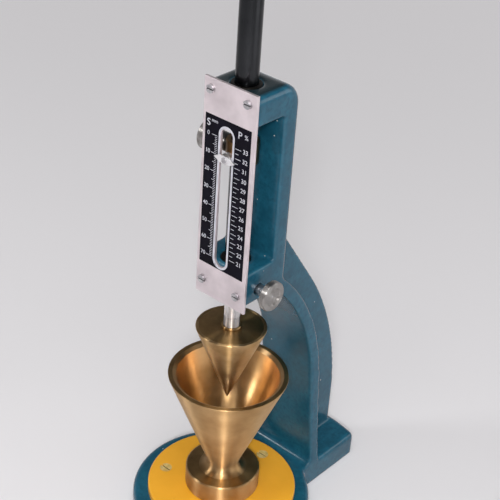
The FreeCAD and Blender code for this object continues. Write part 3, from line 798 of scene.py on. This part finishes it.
@dataclass
class Stand:
    """The painted casting, the disc on its base and the bushes in its lugs."""

    voxel: float = 0.95
    smoothing: float = 0.5
    smoothing_rounds: int = 5
    disc_edge: float = 0.25
    screw_edge: float = 0.12
    slot_floor_depth: float = 0.3
    bush_bore: float = 6.05
    bush_radius: float = 8.0
    bush_edge: float = 0.5
    bore_edge: float = 0.3
    bore_lead: float = 0.4
    upper_bush: tuple[float, float] = (262.7, 278.2)

    def casting(self) -> bpy.types.Object:
        """Remeshes the casting evenly and smooths it, so that its edges are as round as a sand casting's.

        Returns:
            The casting.
        """
        piece = merged_copy("stand_casting", "casting")
        modify(piece, "REMESH", mode="VOXEL", voxel_size=mm(self.voxel))
        modify(piece, "SMOOTH", factor=self.smoothing, iterations=self.smoothing_rounds)
        activate(piece)
        bpy.ops.object.shade_smooth()
        return piece

    def bush(self, name: str, span: tuple[float, float]) -> bpy.types.Object:
        """Turns one guide bush.

        Args:
            name: The piece's name.
            span: Its bottom and top, in millimetres.

        Returns:
            The bush.
        """
        bottom, top = span
        piece = Lathe([
            Corner(self.bush_bore, bottom, self.bore_edge), Corner(self.bush_radius, bottom, self.bush_edge),
            Corner(self.bush_radius, top, self.bush_edge), Corner(self.bush_bore, top, self.bore_lead)],
            segments=96).turn(name)
        shade(piece)
        return piece

    def build(self) -> None:
        """Builds and dresses the stand."""
        hand_over(self.casting(), Body.STAND, "casting", ["stand_casting"])
        disc = softened_copy("table_disc", "disc", self.disc_edge)
        hand_over(disc, Body.STAND, "table", ["table_disc"])
        screws = softened_copy("table_screws", "disc_screws", self.screw_edge)
        hand_over(screws, Body.STAND, "gold_screw", ["table_screws"])
        # Painted shade: the floors of the screws' slots are coloured black
        sunk = max(vertex.co.z for vertex in screws.data.vertices) - mm(self.slot_floor_depth)
        refinish(screws, "slot_shade",
                 lambda face: face.normal.z > FACING and face.calc_center_median().z < sunk)
        # The bushes' bronze is coloured nearly black as painted shade
        bush = self.bush("bush_upper", self.upper_bush)
        hand_over(bush, Body.STAND, "bush", ["upper_guide_bush"])
        PAINT.paint_node("lower_guide_bush", "bush")


@dataclass
class Mould:
    """The brass mould that the cone is lowered into."""

    foot_bottom: float = 20.5
    foot_radius: float = 21.7
    foot_top: float = 33.3
    foot_edge: float = 1.0
    foot_shoulder: float = 1.2
    neck_radius: float = 7.36
    neck_round: float = 4.5
    lip_bottom: float = 99.9
    lip_edge: float = 0.2
    rim: float = 100.5
    rim_radius: float = 34.0
    land_radius: float = 31.4
    land_edge: float = 0.5
    mouth_radius: float = 29.36
    mouth_bottom: float = 98.9
    mouth_edge: float = 0.6
    cup_bottom: float = 25.5
    faced_from: float = 0.985
    bored_to: float = 0.6

    def build(self) -> None:
        """Turns the mould: round foot, waisted neck, flared cup and thin rim."""
        piece = Lathe([
            Corner(0, self.foot_bottom), Corner(self.foot_radius, self.foot_bottom, self.foot_edge),
            Corner(self.foot_radius, self.foot_top, self.foot_shoulder),
            Corner(self.neck_radius, self.foot_top, self.neck_round),
            Corner(self.rim_radius, self.lip_bottom, self.lip_edge),
            Corner(self.rim_radius, self.rim, self.lip_edge),
            Corner(self.land_radius, self.rim, self.land_edge),
            Corner(self.mouth_radius, self.mouth_bottom, self.mouth_edge),
            Corner(0, self.cup_bottom)], segments=256).turn("mould")
        shade(piece)
        hand_over(piece, Body.STAND, "mould", ["cone_mould"])
        # Painted shade: the faces that look up take the darker faced brass
        refinish(piece, "faced", lambda face: face.normal.z > self.faced_from)
        refinish(piece, "bored", self.in_bore)

    def in_bore(self, face: bmesh.types.BMFace) -> bool:
        """Tells whether a face looks inward and a little up, as the cup's inside does."""
        return face.normal.xy.dot(face.calc_center_median().xy) < 0 < face.normal.z < self.bored_to


@dataclass
class Hanger:
    """The sliding rod with its chuck, stem and hollow test cone."""

    rod_radius: float = 6.0
    rod_bottom: float = 152.6
    rod_top: float = 355.0
    rod_edges: tuple[float, float] = (0.8, 1.1)
    chuck_radius: float = 4.5
    chuck_bottom: float = 139.6
    chuck_edges: tuple[float, float] = (0.5, 0.4)
    knurl_inset: float = 1.4
    knurl_depth: float = 0.18
    stem_radius: float = 3.1
    stem_top: float = 145.6
    body_radius: float = 4.4
    foot_radius: float = 5.5
    foot_top: float = 134.2
    foot_round: float = 0.45
    cone_radius: float = 20.0
    cone_top: float = 133.0
    cone_tip: float = 83.0
    cone_round: float = 0.45
    lid_radius: float = 18.0
    lid_bottom: float = 130.0
    lid_edge: float = 0.15
    lid_clearance: float = 0.02
    seat_clearance: float = 0.01
    hollow_radius: float = 16.2
    hollow_tip: float = 89.5
    small_edge: float = 0.2

    def rod(self) -> bpy.types.Object:
        """Turns the sliding rod.

        Returns:
            The rod, unshaded.
        """
        low, high = self.rod_edges
        return Lathe([
            Corner(0, self.rod_bottom), Corner(self.rod_radius, self.rod_bottom, low),
            Corner(self.rod_radius, self.rod_top, high), Corner(0, self.rod_top)]).turn("rod")

    def chuck(self) -> bpy.types.Object:
        """Turns the chuck round the stem's end and knurls it.

        Returns:
            The chuck, unshaded.
        """
        low, high = self.chuck_edges
        band = (self.chuck_bottom + self.knurl_inset, self.rod_bottom - self.knurl_inset)
        return Lathe([
            Corner(self.stem_radius, self.chuck_bottom), Corner(self.chuck_radius, self.chuck_bottom, low),
            Corner(self.chuck_radius, band[0]), Corner(self.chuck_radius, band[1]),
            Corner(self.chuck_radius, self.rod_bottom, high), Corner(0, self.rod_bottom),
            Corner(0, self.stem_top), Corner(self.stem_radius, self.stem_top)],
            segments=60, knurl_depth=self.knurl_depth, knurled=band).turn("chuck")

    def stem(self) -> bpy.types.Object:
        """Turns the stem, thin at both ends where it is held.

        Returns:
            The stem, unshaded.
        """
        seat = self.cone_top + self.seat_clearance
        return Lathe([
            Corner(0, self.lid_bottom), Corner(self.stem_radius, self.lid_bottom),
            Corner(self.stem_radius, seat), Corner(self.body_radius, seat),
            Corner(self.body_radius, self.chuck_bottom), Corner(self.stem_radius, self.chuck_bottom),
            Corner(self.stem_radius, self.stem_top), Corner(0, self.stem_top)], segments=96).turn("stem")

    def stem_foot(self) -> bpy.types.Object:
        """Turns the narrow ring at the stem's foot.

        Returns:
            The ring, unshaded.
        """
        return Lathe([
            Corner(self.body_radius, self.cone_top),
            Corner(self.foot_radius, self.cone_top, self.small_edge),
            Corner(self.foot_radius, self.foot_top, self.foot_round),
            Corner(self.body_radius, self.foot_top, self.small_edge)], segments=96).turn("stem_foot")

    def cone(self) -> bpy.types.Object:
        """Turns the hollow cone.

        Returns:
            The cone, unshaded.
        """
        recess = self.lid_radius + self.lid_clearance
        return Lathe([
            Corner(0, self.cone_tip), Corner(self.cone_radius, self.cone_top, self.cone_round),
            Corner(recess, self.cone_top, self.lid_edge), Corner(recess, self.lid_bottom),
            Corner(self.hollow_radius, self.lid_bottom), Corner(0, self.hollow_tip)],
            segments=224).turn("cone")

    def lid(self) -> bpy.types.Object:
        """Turns the lid that closes the cone.

        Returns:
            The lid, unshaded.
        """
        return Lathe([
            Corner(self.stem_radius, self.lid_bottom), Corner(self.lid_radius, self.lid_bottom),
            Corner(self.lid_radius, self.cone_top, self.lid_edge),
            Corner(self.stem_radius, self.cone_top, self.small_edge)], segments=224).turn("cone_cover")

    def build(self) -> None:
        """Turns the pieces that hang together."""
        # The lid takes the faced brass, whose darker colour is painted shade
        for piece, slot, finish, nodes in (
                (self.rod(), Slot.ROD, "rod", ["slide_rod"]),
                (self.chuck(), Slot.NICKEL, "nickel", ["stem_chuck"]),
                (self.stem(), Slot.NICKEL, "nickel", ["cone_stem"]),
                (self.stem_foot(), Slot.CONE, "cone", []),
                (self.cone(), Slot.CONE, "cone", ["test_cone"]),
                (self.lid(), Slot.CONE, "faced", ["cone_lid"])):
            shade(piece)
            hand_over(piece, Body.ROD, finish, nodes)


@dataclass
class Knob:
    """A round thumb knob with a hub, a cupped and dimpled face and a knurled rim."""

    name: str
    body: Body
    node: str
    finish: str
    axis: Axis
    height: float
    bore: float
    hub_radius: float
    hub_start: float
    knob_start: float
    knob_end: float
    knob_radius: float
    cup_radius: float = 5.4
    cup_depth: float = 0.8
    cup_edge: float = 0.3
    dimple_radius: float = 0.9
    dimple_depth: float = 0.6
    dimple_edge: float = 0.15
    skin: float = 0.2
    hub_edge: float = 0.5
    hub_root: float = 0.4
    inner_edge: float = 0.7
    outer_edge: float = 0.9
    knurl_insets: tuple[float, float] = (0.9, 1.1)

    def build(self) -> None:
        """Turns the knob along its screw and knurls its rim."""
        cup = self.knob_end - self.cup_depth
        seat = cup - self.dimple_depth - self.skin
        band = (self.knob_start + self.knurl_insets[0], self.knob_end - self.knurl_insets[1])
        piece = Lathe([
            Corner(self.bore, self.hub_start), Corner(self.hub_radius, self.hub_start, self.hub_edge),
            Corner(self.hub_radius, self.knob_start, self.hub_root),
            Corner(self.knob_radius, self.knob_start, self.inner_edge),
            Corner(self.knob_radius, band[0]), Corner(self.knob_radius, band[1]),
            Corner(self.knob_radius, self.knob_end, self.outer_edge),
            Corner(self.cup_radius, self.knob_end, self.cup_edge),
            Corner(self.cup_radius - self.cup_depth, cup, self.cup_edge),
            Corner(self.dimple_radius, cup, self.dimple_edge),
            Corner(0, cup - self.dimple_depth), Corner(0, seat), Corner(self.bore, seat)],
            segments=112, knurled=band).turn(self.name, (0, 0, self.height), self.axis)
        shade(piece)
        hand_over(piece, self.body, self.finish, [self.node])


@dataclass
class ScalePlate:
    """The slotted plate with its printed panel, scales and screws."""

    front: float = -12.5
    ink: float = 0.05
    figure_ink: float = 0.03
    panel_left: float = -14.6
    panel_right: float = 15.9
    panel_bottom: float = 174.6
    panel_top: float = 261.0
    outline_outside: float = 5.35
    outline_inside: float = 4.25
    slot_bottom: float = 176.4
    slot_top: float = 256.4
    slot_half_width: float = 4.0
    outline_segments: int = 64
    cut_reach: float = 2.0
    depth_zero: float = 250.5
    depth_marks: int = 70
    water_low: int = 21
    water_high: int = 33
    water_at_zero: float = 33.4
    water_per_millimetre: float = 0.185
    depth_size: float = 3.2
    water_size: float = 3.5
    depth_figures_at: float = -12.2
    water_figures_at: float = 12.7
    header_height: float = 256.2
    headers: tuple[tuple[str, float, float, float], ...] = (
        ("S", -12.3, 0.0, 5.4), ("mm", -8.2, 1.9, 2.7), ("P", 8.6, 0.0, 5.4), ("%", 12.8, 0.2, 3.6))
    letter_weight: float = 0.03
    mark_width: float = 0.28
    mark_rounding: float = 0.35
    marks_start: float = 6.1
    depth_mark_ends: tuple[float, float, float] = (-9.9, -8.9, -7.7)
    water_mark_ends: tuple[float, float] = (9.9, 8.3)
    plate_edge: float = 0.2
    screw_edge: float = 0.35
    slot_floor_depth: float = 0.4

    def water_place(self, percent: float) -> float:
        """Gives the height of a mark on the water scale, where P = 33.4 - 0.185 S.

        Args:
            percent: The water content that the mark stands for.

        Returns:
            The height, in millimetres.
        """
        return self.depth_zero - (self.water_at_zero - percent) / self.water_per_millimetre

    def panel(self) -> bpy.types.Object:
        """Cuts the black panel out round the slot's bare outline.

        Returns:
            The printed panel.
        """
        deselect()
        wide, tall = self.panel_right - self.panel_left, self.panel_top - self.panel_bottom
        bpy.ops.mesh.primitive_cube_add(
            size=1, scale=mm(wide, self.ink, tall),
            location=mm(self.panel_left + wide / 2, self.front - self.ink / 2, self.panel_bottom + tall / 2))
        panel = added("scale_panel")
        bpy.ops.object.transform_apply(location=True, rotation=True, scale=True)
        self.cut_slot(panel, self.outline_outside)
        return panel

    def cut_slot(self, piece: bpy.types.Object, half_width: float) -> None:
        """Cuts the slot's outline out of a printed layer.

        Args:
            piece: The layer.
            half_width: Half of the cut's width, in millimetres.
        """
        cutter = self.slot_blank(half_width, self.cut_reach, self.cut_reach)
        modify(piece, "BOOLEAN", operation="DIFFERENCE", solver="EXACT", object=cutter)
        bpy.data.objects.remove(cutter)

    def outline(self) -> bpy.types.Object:
        """Prints the pale line round the slot.

        Returns:
            The line, as a thin ring.
        """
        line = self.slot_blank(self.outline_outside, self.ink + self.figure_ink, 0.0)
        self.cut_slot(line, self.outline_inside)
        return line

    def slot_blank(self, half_width: float, before: float, behind: float) -> bpy.types.Object:
        """Makes a solid with the slot's round-ended outline.

        Args:
            half_width: Half of the solid's width, in millimetres.
            before: How far it stands before the plate's face.
            behind: How far it reaches behind that face.

        Returns:
            The solid.
        """
        spread = half_width - self.slot_half_width
        low = self.slot_bottom - spread + half_width
        high = self.slot_top + spread - half_width
        deselect()
        bpy.ops.mesh.primitive_circle_add(
            vertices=self.outline_segments, radius=mm(half_width), fill_type="NGON",
            rotation=(math.pi / 2, 0, 0), location=mm(0, self.front, low))
        cutter = added("slot_cutter")
        bpy.ops.object.transform_apply(location=True, rotation=True, scale=True)
        bpy.ops.object.mode_set(mode="EDIT")
        shape = bmesh.from_edit_mesh(cutter.data)
        for vertex in shape.verts:
            if vertex.co.z > mm(low) + MERGE_GAP:
                vertex.co.z += mm(high - low)
        bmesh.update_edit_mesh(cutter.data)
        bpy.ops.mesh.select_all(action="SELECT")
        bpy.ops.transform.translate(value=(0, mm(behind), 0))
        bpy.ops.mesh.extrude_region_move(TRANSFORM_OT_translate={"value": (0, -mm(before + behind), 0)})
        bpy.ops.mesh.select_all(action="SELECT")
        bpy.ops.mesh.normals_make_consistent(inside=False)
        bpy.ops.object.mode_set(mode="OBJECT")
        return cutter

    def mark(self, left: float, right: float) -> bpy.types.Object:
        """Prints the pattern of a scale's mark, with its ends rounded, at the plate's foot.

        Args:
            left: The mark's left end, in millimetres.
            right: Its right end.

        Returns:
            The mark at height nought.
        """
        deselect()
        bpy.ops.mesh.primitive_cube_add(
            size=1, scale=mm(right - left, self.figure_ink, self.mark_width),
            location=mm((left + right) / 2, self.front - self.ink - self.figure_ink / 2, 0))
        piece = bpy.context.active_object
        bpy.ops.object.transform_apply(location=True, rotation=True, scale=True)
        bpy.ops.object.mode_set(mode="EDIT")
        choose(piece, "EDGE", lambda edge: abs((edge.verts[0].co - edge.verts[1].co).y) > MERGE_GAP)
        bpy.ops.mesh.bevel(offset=mm(self.mark_width * self.mark_rounding), segments=2)
        bpy.ops.object.mode_set(mode="OBJECT")
        return piece

    def copied(self, pattern: bpy.types.Object, height: float) -> bpy.types.Object:
        """Copies a mark's pattern, mesh and all, to its height on the plate.

        Args:
            pattern: The mark at height nought.
            height: The copy's height, in millimetres.

        Returns:
            The copy.
        """
        copy = bpy.data.objects.new(pattern.name, pattern.data.copy())
        bpy.context.scene.collection.objects.link(copy)
        return settle(copy, (0, 0, height))

    def figure(self, text: str, x: float, height: float, size: float) -> bpy.types.Object:
        """Prints one number or unit.

        Args:
            text: What it says.
            x: Its centre across the plate, in millimetres.
            height: Its centre's height on the plate.
            size: The letters' size.

        Returns:
            The raised figure.
        """
        deselect()
        bpy.ops.object.text_add()
        piece = bpy.context.active_object
        piece.data.body = text
        piece.data.size = mm(size)
        piece.data.align_x, piece.data.align_y = "CENTER", "CENTER"
        piece.data.extrude = mm(self.figure_ink / 2)
        piece.data.offset = mm(self.letter_weight)
        bpy.ops.object.convert(target="MESH")
        piece = bpy.context.active_object
        return settle(piece, (x, self.front - self.ink - self.figure_ink / 2, height), Axis.FRONT)

    def scales(self) -> bpy.types.Object:
        """Prints the depth scale in millimetres on the left and the water scale in percent on the right.

        Returns:
            Marks and figures as one piece.
        """
        tens, fives, ones = (self.mark(end, -self.marks_start) for end in self.depth_mark_ends)
        whole, half = (self.mark(self.marks_start, end) for end in self.water_mark_ends)
        printed = [self.outline()]
        for depth in range(self.depth_marks + 1):
            height = self.depth_zero - depth
            pattern = tens if depth % 10 == 0 else fives if depth % 5 == 0 else ones
            printed.append(self.copied(pattern, height))
            if pattern is tens:
                printed.append(self.figure(str(depth), self.depth_figures_at, height, self.depth_size))
        for step in range(self.water_low * 2, self.water_high * 2 + 1):
            height = self.water_place(step / 2)
            pattern = whole if step % 2 == 0 else half
            printed.append(self.copied(pattern, height))
            if pattern is whole:
                printed.append(self.figure(str(step // 2), self.water_figures_at, height, self.water_size))
        for pattern in (tens, fives, ones, whole, half):
            bpy.data.objects.remove(pattern)
        for text, x, rise, size in self.headers:
            printed.append(self.figure(text, x, self.header_height + rise, size))
        return joined(printed, "scale_marks")

    def in_screw_slot(self, face: bmesh.types.BMFace, head: float) -> bool:
        """Tells whether a screw's face is the floor of its slot.

        Args:
            face: The face.
            head: How far forward the heads reach, in metres.

        Returns:
            Whether it looks forward and lies between the heads' fronts and the plate's face.
        """
        depth = face.calc_center_median().y
        return face.normal.y < -FACING and head + mm(self.slot_floor_depth) < depth < mm(self.front)

    def build(self) -> None:
        """Dresses the plate and prints its scales."""
        plate = softened_copy("scale_plate", "plate", self.plate_edge)
        hand_over(plate, Body.STAND, "plate", ["scale_plate"])
        screws = softened_copy("plate_screws", "plate_fasteners", self.screw_edge)
        hand_over(screws, Body.STAND, "screw", ["plate_screws"])
        # Painted shade: the floors of the screws' slots are coloured black
        head = min(vertex.co.y for vertex in screws.data.vertices)
        refinish(screws, "slot_shade", lambda face: self.in_screw_slot(face, head))
        hand_over(self.panel(), Body.STAND, "panel")
        hand_over(self.scales(), Body.STAND, "figure")


@dataclass
class PointerSet:
    """The collar on the rod with its pointer, and the screws and pads of both knobs."""

    collar_edge: float = 0.25
    pointer_edge: float = 0.15
    screw_edge: float = 0.15

    def build(self) -> None:
        """Dresses the collar, the pointer and what clamps them."""
        # The collar's brass is coloured dull brown as painted shade
        collar = softened_copy("pointer_collar", "collar", self.collar_edge)
        hand_over(collar, Body.COLLAR, "collar", ["pointer_collar"])
        blade = softened_copy("pointer", "pointer_blade", self.pointer_edge)
        hand_over(blade, Body.COLLAR, "nickel", ["pointer"])
        screw = softened_copy("pointer_screw", "pointer_fastener", self.screw_edge)
        hand_over(screw, Body.COLLAR, "screw", ["pointer_screw"])
        for node, finish in (("collar_pad", "cone"), ("collar_screw", "screw"), ("clamp_shoe", "cone"),
                             ("clamp_screw", "screw")):
            PAINT.paint_node(node, finish)


@dataclass(frozen=True)
class Lamp:
    """A square area lamp: its place and side in millimetres, and its power in watts."""

    name: str
    place: tuple[float, float, float]
    side: float
    power: float


@dataclass
class Studio:
    """The floor, the light and the camera at the photograph's angle."""

    azimuth: float = 39.53
    elevation: float = 31.84
    roll: float = 4.05
    focal_pixels: float = 1255.86
    position: tuple[float, float, float] = (365.28, -429.67, 530.26)
    principal: tuple[float, float] = (251.61, 253.63)
    sensor: float = 36.0
    floor_colour: str = "#DFDDDF"
    floor_size: float = 6000
    floor_near: float = 200
    floor_far: float = 2000
    near_lift: float = 0.06
    far_lift: float = 0.75
    lamps: tuple[Lamp, ...] = (
        Lamp("front", (594, -750, 776), 130, 8.4), Lamp("top", (250, -400, 1300), 900, 8.5),
        Lamp("left", (-680, -760, 760), 240, 3.0), Lamp("right", (950, 250, 300), 600, 1.2),
        Lamp("back", (750, 1000, 650), 600, 2.4))
    aim: tuple[float, float, float] = (0, 10, 150)
    world_strength: float = 0.16
    backdrop_strength: float = 0.85
    horizon: tuple[float, float] = (0.15, 0.5)
    clip: tuple[float, float] = (10, 20000)

    def camera(self) -> None:
        """Puts the camera where the photograph was taken from."""
        turn, tilt, roll = (math.radians(angle) for angle in (self.azimuth, self.elevation, self.roll))
        back = Vector((math.sin(turn) * math.cos(tilt), -math.cos(turn) * math.cos(tilt), math.sin(tilt)))
        right = Vector((math.cos(turn), math.sin(turn), 0))
        up = back.cross(right)
        across = right * math.cos(roll) + up * math.sin(roll)
        upward = up * math.cos(roll) - right * math.sin(roll)
        bpy.ops.object.camera_add()
        camera = added("camera")
        turned = Matrix((across, upward, back)).transposed().to_4x4()
        camera.matrix_world = Matrix.Translation(mm(*self.position)) @ turned
        lens = camera.data
        lens.sensor_width = self.sensor
        lens.lens = self.focal_pixels * self.sensor / PHOTO_SIDE
        lens.shift_x = (PHOTO_SIDE / 2 - self.principal[0]) / PHOTO_SIDE
        lens.shift_y = (self.principal[1] - PHOTO_SIDE / 2) / PHOTO_SIDE
        lens.clip_start, lens.clip_end = mm(*self.clip)
        bpy.context.scene.camera = camera

    def seen(self, tree: bpy.types.NodeTree) -> bpy.types.NodeSocket:
        """Tells whether a ray looks at the background, straight or by way of metal or glass.

        Args:
            tree: The node tree of the floor or the world.

        Returns:
            One for a camera, glossy or transmission ray, and nought for the light on the object.
        """
        ray = add_node(tree, "ShaderNodeLightPath").outputs
        straight = add_node(tree, "ShaderNodeMath", {
            0: ray["Is Camera Ray"], 1: ray["Is Glossy Ray"]}, operation="ADD")
        return add_node(tree, "ShaderNodeMath", {0: straight.outputs[0], 1: ray["Is Transmission Ray"]},
                        operation="ADD", use_clamp=True).outputs[0]

    def floor(self) -> None:
        """Lays the pale floor, which a ray that looks at the background sees lighter further out."""
        deselect()
        bpy.ops.mesh.primitive_plane_add(size=mm(self.floor_size))
        floor = added("floor")
        material = bpy.data.materials.new("pale_floor")
        material.use_nodes = True
        tree = material.node_tree
        shader = tree.nodes["Principled BSDF"]
        shader.inputs["Base Color"].default_value = linear(self.floor_colour)
        shader.inputs["Emission Color"].default_value = linear(self.floor_colour)
        shader.inputs["Roughness"].default_value = 1.0
        shader.inputs["Specular IOR Level"].default_value = 0.0
        place = add_node(tree, "ShaderNodeTexCoord").outputs["Object"]
        away = add_node(tree, "ShaderNodeVectorMath", {0: place}, operation="LENGTH").outputs["Value"]
        wanted = add_node(tree, "ShaderNodeMapRange", {
            "Value": away, "From Min": mm(self.floor_near), "From Max": mm(self.floor_far),
            "To Min": self.near_lift, "To Max": self.far_lift}).outputs[0]
        lift = add_node(tree, "ShaderNodeMath", {0: self.seen(tree), 1: wanted}, operation="MULTIPLY")
        tree.links.new(lift.outputs[0], shader.inputs["Emission Strength"])
        floor.data.materials.append(material)

    def lights(self) -> None:
        """Hangs the soft lamps, each aimed at the middle of the object, and lights the backdrop."""
        middle = Vector(mm(*self.aim))
        for hung in self.lamps:
            deselect()
            bpy.ops.object.light_add(type="AREA", location=mm(*hung.place))
            lamp = added(hung.name)
            lamp.rotation_euler = (middle - lamp.location).to_track_quat("-Z", "Y").to_euler()
            lamp.data.size = mm(hung.side)
            lamp.data.energy = hung.power
        world = bpy.data.worlds.new("studio")
        bpy.context.scene.world = world
        world.use_nodes = True
        tree = world.node_tree
        way = add_node(tree, "ShaderNodeTexCoord").outputs["Generated"]
        height = add_node(tree, "ShaderNodeSeparateXYZ", {0: way}).outputs[2]
        backdrop = add_node(tree, "ShaderNodeMapRange", {
            "Value": height, "From Min": self.horizon[0], "From Max": self.horizon[1],
            "To Min": self.backdrop_strength, "To Max": self.world_strength}).outputs[0]
        strength = add_node(tree, "ShaderNodeMix", {
            0: self.seen(tree), 2: self.world_strength, 3: backdrop}, data_type="FLOAT").outputs[0]
        shader = tree.nodes["Background"]
        shader.inputs["Color"].default_value = linear(self.floor_colour)
        tree.links.new(strength, shader.inputs["Strength"])

    def build(self) -> None:
        """Builds the studio."""
        bpy.context.scene.view_settings.view_transform = "Standard"
        self.camera()
        self.floor()
        self.lights()


LEFT_KNOB = Knob(
    "knob_left", Body.COLLAR_SCREW, "collar_knob", "knob_left", Axis.LEFT, height=LEFT_KNOB_HEIGHT,
    bore=2.0, hub_radius=4.8, hub_start=9.4, knob_start=20.5, knob_end=24.5, knob_radius=8.4)
RIGHT_KNOB = Knob(
    "knob_right", Body.CLAMP_SCREW, "clamp_knob", "knob_right", Axis.RIGHT, height=RIGHT_KNOB_HEIGHT,
    bore=3.0, hub_radius=3.9, hub_start=21.5, knob_start=24.0, knob_end=28.0, knob_radius=8.3)


def main() -> None:
    """Builds the object and its studio."""
    logging.basicConfig(level=logging.INFO, format="%(name)s %(message)s")
    for assembly in (Studio(), Stand(), Mould(), Hanger(), ScalePlate(), PointerSet(), LEFT_KNOB, RIGHT_KNOB):
        assembly.build()


if __name__ == "__main__":
    main()
